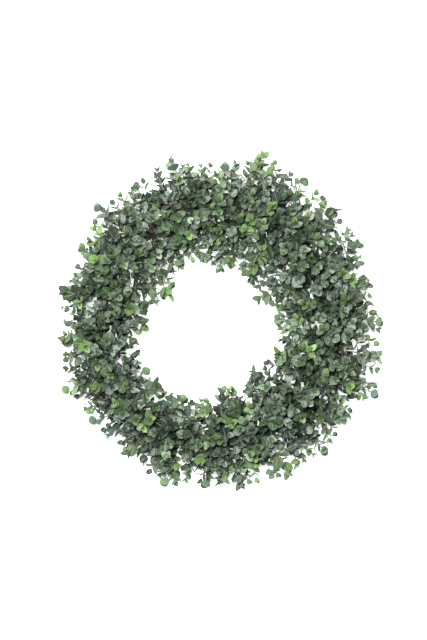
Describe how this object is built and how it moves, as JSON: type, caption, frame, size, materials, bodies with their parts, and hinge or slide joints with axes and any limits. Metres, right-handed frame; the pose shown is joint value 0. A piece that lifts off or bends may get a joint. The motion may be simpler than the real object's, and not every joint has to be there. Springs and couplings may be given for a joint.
{
  "type": "eucalyptus wreath",
  "caption": "Round wreath of leafy eucalyptus sprays rooted in a ring of twisted vines, open in the middle, lying on its back.",
  "frame": {"origin": "under the middle of the wreath's outline, on the surface that it lies on", "axes": "+X to the right and +Y up the wreath's face as it is seen from the front, +Z out of its face towards the viewer"},
  "size_m": [0.5573, 0.5804, 0.0986],
  "materials": {
    "foliage": "moulded leaf with a powdery grey-green bloom, yellow-green towards the tips",
    "vine": "dry brown bark"
  },
  "bodies": {
    "root": {"front_spray_01": "foliage", "front_spray_02": "foliage", "front_spray_03": "foliage", "front_spray_04": "foliage", "front_spray_05": "foliage", "front_spray_06": "foliage", "front_spray_07": "foliage", "front_spray_08": "foliage", "front_spray_09": "foliage", "front_spray_10": "foliage", "front_spray_11": "foliage", "front_spray_12": "foliage", "front_spray_13": "foliage", "front_spray_14": "foliage", "front_spray_15": "foliage", "front_spray_16": "foliage", "front_spray_17": "foliage", "front_spray_18": "foliage", "front_spray_19": "foliage", "front_spray_20": "foliage", "inner_spray_01": "foliage", "inner_spray_02": "foliage", "inner_spray_03": "foliage", "inner_spray_04": "foliage", "inner_spray_05": "foliage", "inner_spray_06": "foliage", "inner_spray_07": "foliage", "inner_spray_08": "foliage", "inner_spray_09": "foliage", "inner_spray_10": "foliage", "inner_spray_11": "foliage", "inner_spray_12": "foliage", "outer_spray_01": "foliage", "outer_spray_02": "foliage", "outer_spray_03": "foliage", "outer_spray_04": "foliage", "outer_spray_05": "foliage", "outer_spray_06": "foliage", "outer_spray_07": "foliage", "outer_spray_08": "foliage", "outer_spray_09": "foliage", "outer_spray_10": "foliage", "outer_spray_11": "foliage", "outer_spray_12": "foliage", "outer_spray_13": "foliage", "outer_spray_14": "foliage", "outer_spray_15": "foliage", "outer_spray_16": "foliage", "outer_spray_17": "foliage", "outer_spray_18": "foliage", "outer_spray_19": "foliage", "outer_spray_20": "foliage", "outer_spray_21": "foliage", "outer_spray_22": "foliage", "outer_spray_23": "foliage", "outer_spray_24": "foliage", "vine_1": "vine", "vine_2": "vine", "vine_3": "vine", "vine_4": "vine"}
  },
  "joints": []
}
